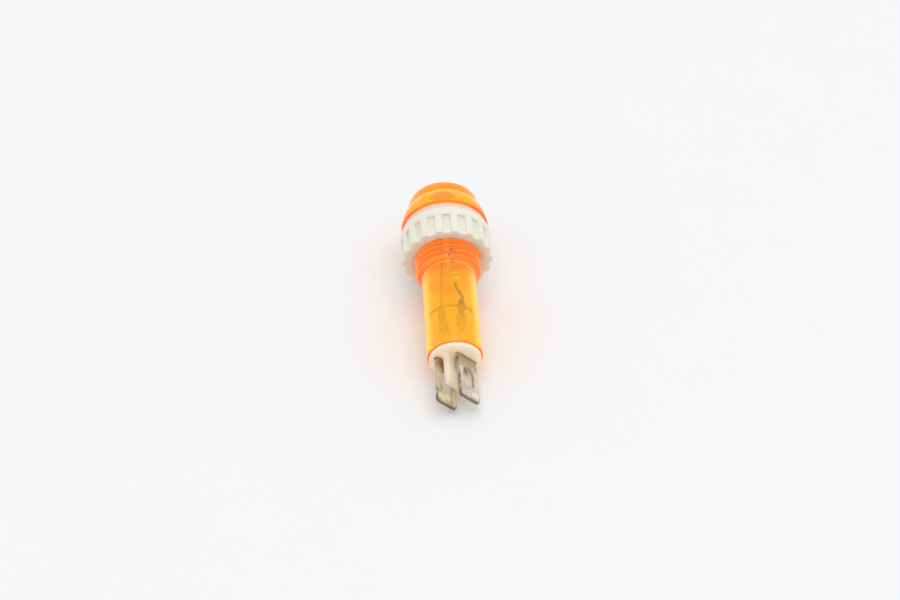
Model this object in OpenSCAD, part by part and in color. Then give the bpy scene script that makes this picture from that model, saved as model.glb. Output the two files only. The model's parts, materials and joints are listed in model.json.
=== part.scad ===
// Panel pilot light for a 10 mm panel hole, lying at rest on its nut and the end of its tube.
// Every piece is drawn standing: the seat under the lens rim is z = 0, the lens points up and the
// terminals point down. at_rest() then lays the whole lamp down, lens towards +Y.

/* [Lens and housing] */
// Diameter of the lens rim that covers the panel hole
rim_d = 12.9; // [12.6:0.1:15]
// Height of the straight edge of the rim
rim_h = 0.35; // [0.2:0.05:0.8]
// Diameter at the knee, where the flared skirt of the lens ends
knee_d = 11; // [10:0.1:12]
// Height of the knee above the seat
knee_h = 3.3; // [2.5:0.1:4.5]
// How far the skirt bulges past a straight flare
skirt_bulge = 0.22; // [0:0.01:0.3]
// Width of the small ledge at the knee
ledge = 0.15; // [0.05:0.05:0.3]
// Height of the dome above the knee
dome_h = 3; // [2.6:0.05:4.5]
// Squareness of the dome's outline, 2 is an ellipse
dome_power = 3.3; // [2:0.1:5]
// Diameter over the thread of the neck
neck_d = 9.8; // [9.4:0.1:9.9]
// Length of the threaded neck below the seat
neck_len = 9.6; // [8.5:0.1:12]
// Distance from one ridge of the neck's thread to the next
thread_pitch = 1; // [0.75:0.25:1.25]
// Depth of the thread, drawn as closed grooves
thread_depth = 0.45; // [0.3:0.05:0.6]
// Width left flat on top of each ridge
thread_crest = 0.2; // [0.1:0.05:0.3]
// Length of the cone between the neck and the tube
shoulder_len = 0.8; // [0.4:0.1:1.5]
// Outside diameter of the tube
tube_d = 7.8; // [7.6:0.1:8.4]
// Distance from the seat to the open end of the tube
body_len = 23.8; // [23:0.1:27]
// Diameter of the bore through the tube and neck
bore_d = 6.6; // [6.4:0.1:6.9]
// Depth of the bore's straight part above the seat
bore_rise = 2.0; // [1.5:0.1:3]

/* [Washer and nut] */
// Outside diameter of the sealing washer
washer_d = 12.4; // [11.5:0.1:12.8]
// Thickness of the sealing washer
washer_t = 1.1; // [0.6:0.1:1.5]
// Gap between the neck and the washer's hole, on the radius
washer_clearance = 0.1; // [0.05:0.01:0.15]
// Wall of the nut, from its bore to the tops of its ribs
nut_wall = 1.7; // [1.3:0.05:2.2]
// Height of the nut
nut_h = 4.9; // [4:0.1:5.5]
// Number of ribs around the nut
rib_count = 18; // [12:2:24]
// Width of each pocket between two ribs
pocket_w = 1.2; // [0.8:0.1:1.4]
// Depth of each pocket
pocket_depth = 0.4; // [0.2:0.05:0.5]
// Height of the plain band at the nut's front, above the pockets
nut_band = 1.5; // [1:0.1:2]
// Width of the chamfers on the nut's edges
nut_chamfer = 0.2; // [0.1:0.05:0.3]
// Gap between the neck and the nut's bore, on the radius
nut_clearance = 0.05; // [0.03:0.01:0.08]

/* [Base plug] */
// Diameter of the plug's flange on the tube's end
flange_d = 7.35; // [7.1:0.05:7.5]
// Thickness of the flange
flange_t = 0.5; // [0.3:0.05:0.8]
// Thickness of the plug's floor inside the tube
floor_t = 1.6; // [1.2:0.1:2.2]
// Height of the skirt above the flange, inside the tube
skirt_h = 6.9; // [5.5:0.1:7.5]
// Thickness of the skirt's wall
skirt_wall = 0.45; // [0.35:0.05:0.5]
// Gap between the skirt and the tube's bore, on the radius
plug_clearance = 0.03; // [0.02:0.01:0.06]
// Thickness of the barrier wall between the terminals, at its root
barrier_t = 1.0; // [0.7:0.05:1.3]
// Thickness of the barrier wall at its free edge
barrier_tip_t = 0.8; // [0.6:0.05:1.3]
// Width of the barrier wall
barrier_w = 4.2; // [3.4:0.1:5]
// Length of the barrier wall below the flange
barrier_len = 4.8; // [3:0.1:6]
// Radius of the barrier's free corners
barrier_corner = 0.4; // [0.2:0.05:0.6]

/* [Terminals] */
// Width of each tab
tab_w = 3.75; // [3.4:0.05:3.8]
// Thickness of the terminal's metal
metal_t = 0.5; // [0.4:0.05:0.6]
// Length of each tab outside the plug
tab_len = 7.1; // [6.2:0.1:9]
// Radius of the tab's tip corners
tab_corner = 0.45; // [0.2:0.05:0.8]
// Distance of each tab from the lamp's axis, to the middle of its metal
tab_offset = 1.35; // [1.25:0.05:1.4]
// Sideways shift of each tab from the lamp's axis
tab_shift = 0.7; // [0.5:0.05:0.75]
// Turn of the terminals about the lamp's axis, as the lamp lies
tab_turn = 46.5; // [0:0.5:90]
// Width of the oval wire hole
hole_w = 2.0; // [1.2:0.1:2.4]
// Length of the oval wire hole
hole_len = 3.3; // [2.5:0.1:3.8]
// Distance from the plug's face to the middle of the wire hole
hole_drop = 3.4; // [2.5:0.1:4]
// Outward bend of the left tab at its root
splay_left = 2.5; // [0:0.5:3]
// Outward bend of the right tab at its root
splay_right = 0.5; // [0:0.5:3]
// Gap between a terminal and its slot in the plug, on each side
slot_clearance = 0.03; // [0.02:0.01:0.05]
// Width of the twisted lug at the inner end of the terminal
lug_w = 1.4; // [1.1:0.1:1.5]
// Length of the lug
lug_len = 2.0; // [1.5:0.1:2.5]
// Twist of the lug, which locks the terminal in the plug
lug_twist = 31; // [15:1:40]
// Height of the neck between the plug's floor and the lug
lug_neck_h = 3.4; // [2:0.1:3.6]
// Width of that neck, and of the soldering tongue above the lug
tongue_w = 0.7; // [0.5:0.05:0.8]
// Length of the soldering tongue above the lug
tongue_len = 1.8; // [1.5:0.1:2]
// Shift of the lug from the tab's middle towards the lamp's axis
lug_shift = 0.3; // [0:0.05:0.4]

/* [Bulb and resistor] */
// Outside diameter of the neon bulb
bulb_d = 5.0; // [4.6:0.1:5.8]
// Length of the bulb's glass
bulb_len = 8.6; // [8:0.1:9.2]
// Thickness of the bulb's glass
glass_t = 0.4; // [0.3:0.05:0.5]
// Height of the solid pinch at the bulb's foot
pinch_h = 1.8; // [1.4:0.1:2.2]
// Height of the bulb's top below the inside of the lens
bulb_gap = 0.3; // [0.2:0.05:0.6]
// Diameter of the two electrode rods
electrode_d = 0.7; // [0.5:0.05:0.9]
// Length of the electrode rods above the pinch
electrode_len = 4.2; // [3:0.1:4.8]
// Distance between the two electrodes
electrode_gap = 1.4; // [1.2:0.05:1.8]
// Diameter of every wire lead
lead_d = 0.4; // [0.3:0.05:0.45]
// Diameter of the resistor's body
resistor_d = 1.6; // [1.4:0.05:1.7]
// Length of the resistor over its caps
resistor_len = 3.5; // [3:0.1:3.6]
// Length of each of the resistor's end caps
cap_len = 0.7; // [0.5:0.05:0.9]
// Thickness of each end cap's metal
cap_t = 0.1; // [0.08:0.01:0.15]
// Distance from the seat down to the resistor's upper end
resistor_drop = 7.5; // [7.2:0.1:8]
// Diameter of the solder beads
solder_d = 1.1; // [1:0.05:1.2]
// Gap between the two wires in the splice
splice_gap = 0.05; // [0.03:0.01:0.1]
// Length of the solder beads
solder_len = 1.2; // [1:0.1:1.4]

/* [Hidden] */
$fn = 48;
// Overlap of cutting shapes past the faces they cut
cut = 1;
// Swelling of a wire where it was bent, as a share of its radius
wire_bend_swell = 1.1;

// Heights along the lamp's axis, from the seat
nut_front = -washer_t;
nut_rear = nut_front - nut_h;
tube_end = -body_len;
plug_face = tube_end - flange_t;
floor_top = tube_end + floor_t;
dome_top = knee_h + dome_h;
lug_foot = floor_top + lug_neck_h;
lug_top = lug_foot + lug_len;
tongue_top = lug_top + tongue_len;
resistor_top = -resistor_drop;
resistor_foot = resistor_top - resistor_len;

// Radii
bore_r = bore_d / 2;
neck_r = neck_d / 2;
tube_r = tube_d / 2;
nut_r = neck_r + nut_clearance + nut_wall;
skirt_r = bore_r - plug_clearance;
lead_r = lead_d / 2;
bulb_top = bore_rise + bore_r - bulb_gap;
bulb_foot = bulb_top - bulb_len;
pinch_top = bulb_foot + pinch_h;

// Outline of the thread from the neck's foot up: one groove below every ridge
groove_h = thread_pitch - thread_crest;
groove_count = floor((neck_len - thread_crest) / thread_pitch);
thread_outline = [for (i = [0 : groove_count - 1], step = [[0, 0], [-thread_depth, 0.5], [0, 1]])
    [neck_r + step.x, thread_crest - neck_len + i * thread_pitch + step.y * groove_h]];

// Outline of the lens above the seat: rim, flared skirt, ledge and dome
skirt_steps = 4;
dome_steps = 12;
lens_outline = concat(
    [[rim_d / 2, 0]],
    [for (i = [0 : skirt_steps]) let (t = i / skirt_steps)
        [rim_d / 2 + (knee_d - rim_d) / 2 * t + skirt_bulge * 4 * t * (1 - t),
         rim_h + (knee_h - rim_h) * t]],
    [for (i = [0 : dome_steps]) let (a = 90 * i / dome_steps)
        [(knee_d / 2 - ledge) * pow(cos(a), 2 / dome_power),
         knee_h + dome_h * pow(sin(a), 2 / dome_power)]]
);

// A point turned about the lamp's axis
function turned(p, a) = [p.x * cos(a) - p.y * sin(a), p.x * sin(a) + p.y * cos(a)];
// Distance along Y from the seat back to one corner of a tab's tip
function tab_corner_reach(side, edge, face) =
    let (
        splay = side == 0 ? splay_right : splay_left,
        out = tab_offset + tab_len * sin(splay) + face * metal_t / 2 * cos(splay),
        down = tab_len * cos(splay) - face * metal_t / 2 * sin(splay),
        across = turned([tab_shift + edge * (tab_w / 2 - tab_corner), -out], tab_turn + side * 180)
    )
    (down - plug_face) * cos(rest_tilt) - across.y * sin(rest_tilt);

// How the lamp rests: on the rear edges of its two lowest ribs and on the tube's end
rib_edge_r = sqrt(pow(nut_r, 2) - pow(pocket_w / 2, 2));
rest_tilt = atan((rib_edge_r - tube_r) / (nut_rear - tube_end));
axis_at_nut = rib_edge_r * cos(rest_tilt);
seat_height = axis_at_nut - nut_rear * sin(rest_tilt);
// Reach of the lens and of the tab corners along Y from the seat, as the lamp lies
lens_reach = max([for (p = lens_outline) p.y * cos(rest_tilt) + p.x * sin(rest_tilt)]);
tab_reach = max([for (side = [0, 1], edge = [-1, 1], face = [-1, 1]) tab_corner_reach(side, edge, face)]);
// The middle of the lamp's length stands at y = 0
seat_y = (tab_reach - lens_reach) / 2;

// Where the lug and its lead stand in the lamp's own frame, for one side
function lug_place(side) = turned([tab_shift - lug_shift, -tab_offset], tab_turn + side * 180);
function lead_place(side) = lug_place(side)
    + turned([0, -(metal_t / 2 + lead_r)], tab_turn - lug_twist + side * 180);

// Places of the wires, chosen by hand around the named pieces
resistor_place = [0.9, -0.75];
// Drop from the bulb to the splice, and the splice's length and its start on the resistor's lead
splice_drop = 1;
splice_len = 1.6;
splice_start = 0.2;
// Straight runs: out of the bulb, out of the bulb towards the splice, and above a tongue
wire_stub = 0.8;
short_stub = 0.3;
tongue_stub = 0.4;
// How far the two lower wires bow out of line, and how far above what they pass
left_bow = [0.2, -0.5];
right_bow = [0.25, 0];
bow_rise = 1;
splice_place = resistor_place + [0, lead_d + splice_gap];
splice_top = bulb_foot - splice_drop;
splice_foot = splice_top - splice_len;

// Lays the standing lamp down as it rests, with its lens towards +Y
module at_rest() {
    translate([0, seat_y, seat_height])
        rotate([rest_tilt - 90, 0, 0])
            children();
}

// Turns a terminal's own frame, in which its tab is parallel to X, to its side of the lamp
module on_side(side) {
    rotate([0, 0, tab_turn + side * 180])
        children();
}

// A wire through the given points, with a round bend at each
module wire(points) {
    for (i = [0 : len(points) - 2]) {
        step = points[i + 1] - points[i];
        length = norm(step);
        translate(points[i])
            rotate([0, acos(step.z / length), atan2(step.y, step.x)])
                cylinder(r = lead_r, h = length, $fn = 16);
    }
    for (i = [1 : 1 : len(points) - 2])
        translate(points[i])
            sphere(r = lead_r * wire_bend_swell, $fn = 16);
}

// A bead of solder with round ends, standing on the given place
module bead(place, foot, d, length) {
    translate([place.x, place.y, foot]) {
        cylinder(d = d, h = length, $fn = 16);
        for (z = [0, length])
            translate([0, 0, z])
                sphere(d = d, $fn = 16);
    }
}

module lens_housing() {
    color("orange") at_rest()
        difference() {
            rotate_extrude()
                polygon(concat(
                    [[0, tube_end], [tube_r, tube_end], [tube_r, -neck_len - shoulder_len],
                     [neck_r, -neck_len]],
                    thread_outline,
                    [[neck_r, 0]],
                    lens_outline
                ));
            translate([0, 0, tube_end - cut])
                cylinder(d = bore_d, h = body_len + cut + bore_rise);
            translate([0, 0, bore_rise])
                sphere(d = bore_d);
        }
}

module sealing_washer() {
    color("mistyrose") at_rest()
        translate([0, 0, nut_front])
            difference() {
                cylinder(d = washer_d, h = washer_t);
                translate([0, 0, -cut])
                    cylinder(r = neck_r + washer_clearance, h = washer_t + 2 * cut);
            }
}

// The nut's revolved body, with chamfered edges and a chamfered bore
module nut_blank() {
    hole_r = neck_r + nut_clearance;
    rotate_extrude()
        polygon([
            [hole_r + nut_chamfer, nut_rear], [nut_r, nut_rear], [nut_r, nut_front - nut_chamfer],
            [nut_r - nut_chamfer, nut_front], [hole_r + nut_chamfer, nut_front],
            [hole_r, nut_front - nut_chamfer], [hole_r, nut_rear + nut_chamfer]
        ]);
}

module ring_nut() {
    color("ivory") at_rest()
        difference() {
            nut_blank();
            for (i = [0 : rib_count - 1])
                rotate([0, 0, 90 + i * 360 / rib_count])
                    translate([nut_r - pocket_depth, -pocket_w / 2, nut_rear - cut])
                        cube([pocket_depth + cut, pocket_w, nut_h - nut_band + cut]);
        }
}

// The barrier wall's outline across its width, with round free corners
module barrier_outline() {
    translate([-barrier_w / 2, plug_face - barrier_len + barrier_corner])
        square([barrier_w, barrier_len - barrier_corner + flange_t]);
    translate([-barrier_w / 2 + barrier_corner, plug_face - barrier_len])
        square([barrier_w - 2 * barrier_corner, barrier_corner + cut]);
    for (side = [-1, 1])
        translate([side * (barrier_w / 2 - barrier_corner), plug_face - barrier_len + barrier_corner])
            circle(r = barrier_corner, $fn = 16);
}

// The barrier wall, which thins towards its free edge
module barrier() {
    intersection() {
        rotate([90, 0, 0])
            linear_extrude(barrier_t, center = true)
                barrier_outline();
        rotate([90, 0, 90])
            linear_extrude(barrier_w + cut, center = true)
                polygon([
                    [-barrier_t / 2, tube_end], [barrier_t / 2, tube_end], [barrier_t / 2, plug_face],
                    [barrier_tip_t / 2, plug_face - barrier_len],
                    [-barrier_tip_t / 2, plug_face - barrier_len], [-barrier_t / 2, plug_face]
                ]);
    }
}

module base_plug() {
    color("cornsilk") at_rest()
        difference() {
            union() {
                translate([0, 0, plug_face])
                    cylinder(d = flange_d, h = flange_t);
                translate([0, 0, plug_face])
                    cylinder(r = skirt_r, h = flange_t + skirt_h);
                on_side(0)
                    barrier();
            }
            translate([0, 0, floor_top])
                cylinder(r = skirt_r - skirt_wall, h = skirt_h + cut);
            for (side = [0, 1])
                on_side(side)
                    translate([tab_shift - tab_w / 2 - slot_clearance,
                               -tab_offset - metal_t / 2 - slot_clearance, plug_face - cut])
                        cube([tab_w + 2 * slot_clearance, metal_t + 2 * slot_clearance,
                              flange_t + floor_t + 2 * cut]);
        }
}

// Outline of the tab outside the plug, with round tip corners and the oval wire hole
module tab_outline() {
    difference() {
        union() {
            translate([-tab_w / 2, -tab_len + tab_corner])
                square([tab_w, tab_len - tab_corner]);
            translate([-tab_w / 2 + tab_corner, -tab_len])
                square([tab_w - 2 * tab_corner, tab_len]);
            for (edge = [-1, 1])
                translate([edge * (tab_w / 2 - tab_corner), -tab_len + tab_corner])
                    circle(r = tab_corner, $fn = 16);
        }
        for (end = [-1, 1])
            translate([0, -hole_drop + end * (hole_len - hole_w) / 2])
                circle(d = hole_w);
        translate([-hole_w / 2, -hole_drop - (hole_len - hole_w) / 2])
            square([hole_w, hole_len - hole_w]);
    }
}

// A terminal in its own frame: the tab, the wide shank in the plug's slot, the twisted lug and tongue
module terminal(splay) {
    translate([tab_shift, -tab_offset, plug_face])
        rotate([90 - splay, 0, 0])
            linear_extrude(metal_t, center = true)
                tab_outline();
    translate([tab_shift - tab_w / 2, -tab_offset - metal_t / 2, plug_face - metal_t * sin(splay)])
        cube([tab_w, metal_t, flange_t + floor_t + metal_t * sin(splay)]);
    translate([tab_shift - lug_shift, -tab_offset, 0]) {
        translate([-tongue_w / 2, -metal_t / 2, floor_top - cut])
            cube([tongue_w, metal_t, lug_neck_h + cut + metal_t / 2]);
        rotate([0, 0, -lug_twist]) {
            translate([-lug_w / 2, -metal_t / 2, lug_foot])
                cube([lug_w, metal_t, lug_len]);
            translate([-tongue_w / 2, -metal_t / 2, lug_top - cut])
                cube([tongue_w, metal_t, tongue_len + cut]);
        }
    }
}

module terminal_right() {
    color("darkkhaki") at_rest()
        on_side(0)
            terminal(splay_right);
}

module terminal_left() {
    color("darkkhaki") at_rest()
        on_side(1)
            terminal(splay_left);
}

// Outline of the bulb, or of the space in it when shrunk by the glass
module bulb_profile(shrink, foot) {
    r = bulb_d / 2;
    intersection() {
        union() {
            translate([0, foot])
                square([r - shrink, bulb_top - r - foot]);
            translate([0, bulb_top - r])
                circle(r = r - shrink, $fn = 32);
        }
        translate([0, foot])
            square([r, bulb_len]);
    }
}

module bulb_glass() {
    color("lavender", 0.5) at_rest()
        difference() {
            rotate_extrude($fn = 32)
                difference() {
                    bulb_profile(0, bulb_foot);
                    bulb_profile(glass_t, pinch_top);
                }
            for (side = [-1, 1])
                translate([side * electrode_gap / 2, 0, bulb_foot - cut])
                    cylinder(r = lead_r, h = pinch_h + 2 * cut, $fn = 16);
        }
}

module electrode(side) {
    translate([side * electrode_gap / 2, 0, pinch_top])
        cylinder(d = electrode_d, h = electrode_len, $fn = 16);
}

module electrode_left() {
    color("dimgray") at_rest() electrode(-1);
}

module electrode_right() {
    color("dimgray") at_rest() electrode(1);
}

// The bulb's wire from its electrode straight down to the left terminal's tongue
module left_lead_wire() {
    place = lead_place(1);
    wire([
        [-electrode_gap / 2, 0, pinch_top],
        [-electrode_gap / 2, 0, bulb_foot - wire_stub],
        [place.x + left_bow.x, place.y + left_bow.y, resistor_foot + bow_rise],
        [place.x, place.y, tongue_top + tongue_stub],
        [place.x, place.y, tongue_top - solder_len]
    ]);
}

module bulb_lead_left() {
    color("silver") at_rest() left_lead_wire();
}

// The bulb's other wire, down to the splice with the resistor's upper lead
module right_lead_wire() {
    wire([
        [electrode_gap / 2, 0, pinch_top],
        [electrode_gap / 2, 0, bulb_foot - short_stub],
        [splice_place.x, splice_place.y, splice_top],
        [splice_place.x, splice_place.y, splice_foot]
    ]);
}

module bulb_lead_right() {
    color("silver") at_rest() right_lead_wire();
}

module resistor_body() {
    color("tan") at_rest()
        translate([resistor_place.x, resistor_place.y, resistor_foot + cap_t])
            union() {
                cylinder(d = resistor_d - 2 * cap_t, h = resistor_len - 2 * cap_t, $fn = 32);
                translate([0, 0, cap_len - cap_t])
                    cylinder(d = resistor_d, h = resistor_len - 2 * cap_len, $fn = 32);
            }
}

// One of the two metal cups pressed on the resistor's ends
module resistor_cap(flip) {
    middle = (resistor_top + resistor_foot) / 2;
    translate([resistor_place.x, resistor_place.y, middle])
        mirror([0, 0, flip ? 1 : 0])
            translate([0, 0, resistor_len / 2 - cap_len])
                difference() {
                    cylinder(d = resistor_d, h = cap_len, $fn = 32);
                    translate([0, 0, -cut])
                        cylinder(d = resistor_d - 2 * cap_t, h = cap_len - cap_t + cut, $fn = 32);
                }
}

module resistor_cap_upper() {
    color("gray") at_rest() resistor_cap(false);
}

module resistor_cap_lower() {
    color("gray") at_rest() resistor_cap(true);
}

module upper_lead_wire() {
    wire([
        [resistor_place.x, resistor_place.y, resistor_top],
        [resistor_place.x, resistor_place.y, splice_top - splice_start]
    ]);
}

module resistor_lead_upper() {
    color("silver") at_rest() upper_lead_wire();
}

module lower_lead_wire() {
    place = lead_place(0);
    wire([
        [resistor_place.x, resistor_place.y, resistor_foot],
        [resistor_place.x, resistor_place.y, resistor_foot - wire_stub],
        [place.x + right_bow.x, place.y + right_bow.y, tongue_top + bow_rise],
        [place.x, place.y, tongue_top + tongue_stub],
        [place.x, place.y, tongue_top - solder_len]
    ]);
}

module resistor_lead_lower() {
    color("silver") at_rest() lower_lead_wire();
}

module solder_left() {
    place = lead_place(1);
    color("gray") at_rest()
        difference() {
            bead(place, tongue_top - solder_len, solder_d, solder_len);
            left_lead_wire();
            on_side(1) terminal(splay_left);
        }
}

module solder_right() {
    place = lead_place(0);
    color("gray") at_rest()
        difference() {
            bead(place, tongue_top - solder_len, solder_d, solder_len);
            lower_lead_wire();
            on_side(0) terminal(splay_right);
        }
}

module solder_splice() {
    color("gray") at_rest()
        difference() {
            bead((splice_place + resistor_place) / 2, splice_foot + 0.3, solder_d, solder_len);
            upper_lead_wire();
            right_lead_wire();
        }
}

lens_housing();
sealing_washer();
ring_nut();
base_plug();
terminal_left();
terminal_right();
bulb_glass();
electrode_left();
electrode_right();
bulb_lead_left();
bulb_lead_right();
resistor_body();
resistor_cap_upper();
resistor_cap_lower();
resistor_lead_upper();
resistor_lead_lower();
solder_left();
solder_right();
solder_splice();
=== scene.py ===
import json
import math
import random

import bmesh
import bpy
from mathutils import Matrix, Vector


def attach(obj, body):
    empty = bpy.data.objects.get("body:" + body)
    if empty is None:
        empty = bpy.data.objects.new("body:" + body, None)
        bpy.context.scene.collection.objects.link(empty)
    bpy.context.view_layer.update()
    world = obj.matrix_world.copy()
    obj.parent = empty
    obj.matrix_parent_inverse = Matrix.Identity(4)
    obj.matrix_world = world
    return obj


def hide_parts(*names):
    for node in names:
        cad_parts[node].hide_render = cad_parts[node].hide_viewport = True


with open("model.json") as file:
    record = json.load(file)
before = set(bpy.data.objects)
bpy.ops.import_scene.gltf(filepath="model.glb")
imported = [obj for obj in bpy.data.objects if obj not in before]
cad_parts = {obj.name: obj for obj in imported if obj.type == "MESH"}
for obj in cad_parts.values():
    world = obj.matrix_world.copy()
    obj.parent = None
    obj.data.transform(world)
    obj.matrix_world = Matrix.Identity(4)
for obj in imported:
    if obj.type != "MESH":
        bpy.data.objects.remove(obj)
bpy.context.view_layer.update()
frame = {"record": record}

# ---------------------------------------------------------------------------
# View: the lamp lies on a table with its terminals towards the camera, which
# looks steeply down on it. Sizes are written in millimetres and scaled by MM.
# ---------------------------------------------------------------------------
MM = 0.001
TAU = 2 * math.pi
NECK_LEN = 9.6

# The lamp's own frame: Z runs along the lamp towards the lens, and z = 0 is the
# seat under the lens rim. X points right and Y down to the table.
neck = next(m for m in frame["record"]["mounts"] if m["name"] == "panel_hole_neck")
lamp_way = -Vector(neck["axis"])
lamp_seat = Vector(neck["pos_m"]) + lamp_way * (NECK_LEN / 2 * MM)
side_way = Vector((1, 0, 0))
down_way = lamp_way.cross(side_way)
LAMP = Matrix((side_way, down_way, lamp_way)).transposed().to_4x4()
LAMP.translation = lamp_seat


def add(name, data):
    """Puts data into the scene as an object."""
    made = bpy.data.objects.new(name, data)
    bpy.context.collection.objects.link(made)
    return made


camera_data = bpy.data.cameras.new("camera")
camera_data.lens = 64
camera_data.sensor_width = 36
camera_data.clip_start = 0.01
camera = add("camera", camera_data)
camera.location = (-0.009072, -0.170922, 0.159206)
camera.rotation_euler = [math.radians(a) for a in (47.9267, 0.5371, -3.5136)]
bpy.context.scene.camera = camera
bpy.context.scene.view_settings.view_transform = "Standard"


# ---------------------------------------------------------------------------
# Lens housing: one clear orange moulding. Its domed lens and rim, the threaded
# neck and the plain tube are a single shell round a bore with a domed end, and
# its thick walls take out more blue and green than its thin ones.
# ---------------------------------------------------------------------------
TUBE_END = -23.8
TUBE_R = 3.9
BORE_R = 3.3
BORE_RISE = 2.0
NECK_R = 4.9
NECK_FOOT = -NECK_LEN
SHOULDER_LEN = 0.8
SHOULDER_FOOT = NECK_FOOT - SHOULDER_LEN
RIM_R = 6.45
RIM_H = 0.35
KNEE_R = 5.5
KNEE_H = 3.3
SKIRT_BULGE = 0.22
LEDGE_W = 0.15
DOME_R = KNEE_R - LEDGE_W
DOME_H = 3.0
DOME_POWER = 3.3
THREAD_PITCH = 1.0
THREAD_DEPTH = 0.45
THREAD_FLAT = 0.14
THREAD_FLANK = 0.7
THREAD_START = -0.1
ROWS_PER_MM = 14
CREST_WEAR = 0.15
LEAD_IN = 0.9


class Value:
    """A node's output that Python's own operators can reckon with."""

    def __init__(self, paint, socket):
        self.paint, self.socket = paint, socket

    def maths(self, operation, *rest, clamp=False):
        return self.paint.node(
            "Math", {"operation": operation, "use_clamp": clamp}, dict(enumerate((self, *rest)))
        )

    def __add__(self, other):
        return self.maths("ADD", other)

    def __sub__(self, other):
        return self.maths("SUBTRACT", other)

    def __rsub__(self, other):
        return self.paint.node("Math", {"operation": "SUBTRACT"}, {0: other, 1: self})

    def __mul__(self, other):
        return self.maths("MULTIPLY", other)

    def __truediv__(self, other):
        return self.maths("DIVIDE", other)

    def __pow__(self, other):
        return self.maths("POWER", other)

    def __abs__(self):
        return self.maths("ABSOLUTE")

    __radd__ = __add__
    __rmul__ = __mul__

    def step(self, low, high):
        """0 up to low, 1 from high on, and a smooth ramp between."""
        return self.paint.node(
            "MapRange", {"interpolation_type": "SMOOTHSTEP"}, {0: self, 1: low, 2: high, 3: 0.0, 4: 1.0}
        )


class Paint:
    """One material. node() adds a node and returns its output as a Value."""

    def __init__(self, name, **constants):
        self.material = bpy.data.materials.new(name)
        self.material.use_nodes = True
        self.tree = self.material.node_tree
        self.shader = self.tree.nodes["Principled BSDF"]
        for socket, value in constants.items():
            self.shader.inputs[socket.replace("_", " ")].default_value = value

    def node(self, kind, settings=None, inputs=None, output=0):
        made = self.tree.nodes.new("ShaderNode" + kind)
        for key, value in (settings or {}).items():
            setattr(made, key, value)
        for key, value in (inputs or {}).items():
            self.join(value, made.inputs[key])
        return Value(self, made.outputs[output])

    def join(self, value, socket):
        if isinstance(value, Value):
            self.tree.links.new(value.socket, socket)
        else:
            socket.default_value = value

    def set(self, **sockets):
        for socket, value in sockets.items():
            self.join(value, self.shader.inputs[socket.replace("_", " ")])

    def attribute(self, name, output=2):
        return self.node("Attribute", {"attribute_name": name}, output=output)

    def place(self):
        """The point's own place in the lamp's frame, in millimetres."""
        return self.attribute("lamp", output=1)

    def axes(self):
        parts = self.node("SeparateXYZ", inputs={0: self.place()})
        made = parts.socket.node
        return [Value(self, made.outputs[i]) for i in range(3)]

    def noise(self, scale, detail=3.0, rough=0.55, stretch=(1, 1, 1), shift=(0, 0, 0)):
        where = self.node("Mapping", inputs={0: self.place(), "Scale": stretch, "Location": shift})
        return self.node(
            "TexNoise", inputs={"Vector": where, "Scale": scale, "Detail": detail, "Roughness": rough}
        )

    def spots(self, scale, size, shift=(0, 0, 0)):
        """Small round specks: 1 in a speck and 0 between them."""
        where = self.node("Mapping", inputs={0: self.place(), "Location": shift})
        far = self.node("TexVoronoi", inputs={"Vector": where, "Scale": scale})
        return 1 - far.step(size * 0.5, size)

    def mix(self, factor, first, second):
        """Colour first where factor is 0 and second where it is 1."""
        return self.node(
            "Mix", {"data_type": "RGBA"}, {0: factor, 6: opaque(first), 7: opaque(second)}, output=2
        )

    def bump(self, height, strength, distance):
        """distance is the height of a full step, in millimetres."""
        self.set(Normal=self.node("Bump", inputs={
            "Strength": strength, "Distance": distance * MM, "Height": height}))

    def volume(self, colour, density):
        made = self.tree.nodes.new("ShaderNodeVolumeAbsorption")
        made.inputs["Color"].default_value = (*colour, 1)
        made.inputs["Density"].default_value = density
        self.tree.links.new(made.outputs[0], self.tree.nodes["Material Output"].inputs["Volume"])


def opaque(colour):
    return colour if isinstance(colour, Value) else (*colour, 1)


def mark_places(mesh):
    """Keeps each point's place in the lamp's own frame, in millimetres, for the materials."""
    kept = mesh.attributes.get("lamp") or mesh.attributes.new("lamp", "FLOAT_VECTOR", "POINT")
    back = LAMP.inverted()
    kept.data.foreach_set("vector", [c / MM for v in mesh.vertices for c in back @ v.co])


def finish(mesh, name, paint, crease):
    """Closes a mesh into an object: outward faces, smooth but for its creases, one material."""
    work = bmesh.new()
    work.from_mesh(mesh)
    bmesh.ops.recalc_face_normals(work, faces=work.faces)
    work.to_mesh(mesh)
    work.free()
    mesh.shade_smooth()
    mesh.set_sharp_from_angle(angle=math.radians(crease))
    mark_places(mesh)
    mesh.materials.clear()
    mesh.materials.append(paint.material)
    return add(name, mesh)


def evaluated_mesh(holder):
    """The mesh that an object's modifiers make."""
    seen = bpy.context.evaluated_depsgraph_get()
    return bpy.data.meshes.new_from_object(
        holder.evaluated_get(seen), preserve_all_data_layers=True, depsgraph=seen
    )


def build(name, points, faces, paint, crease=40, marks=None):
    """A piece from points in the lamp's frame. marks gives each point a number by name."""
    mesh = bpy.data.meshes.new(name)
    mesh.from_pydata([[c * MM for c in p] for p in points], [], faces)
    for mark, numbers in (marks or {}).items():
        mesh.attributes.new(mark, "FLOAT", "POINT").data.foreach_set("value", numbers)
    mesh.transform(LAMP)
    return finish(mesh, name, paint, crease)


def seat(piece, body, slot, *nodes):
    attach(piece, body)
    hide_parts(*nodes)
    return piece


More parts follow.
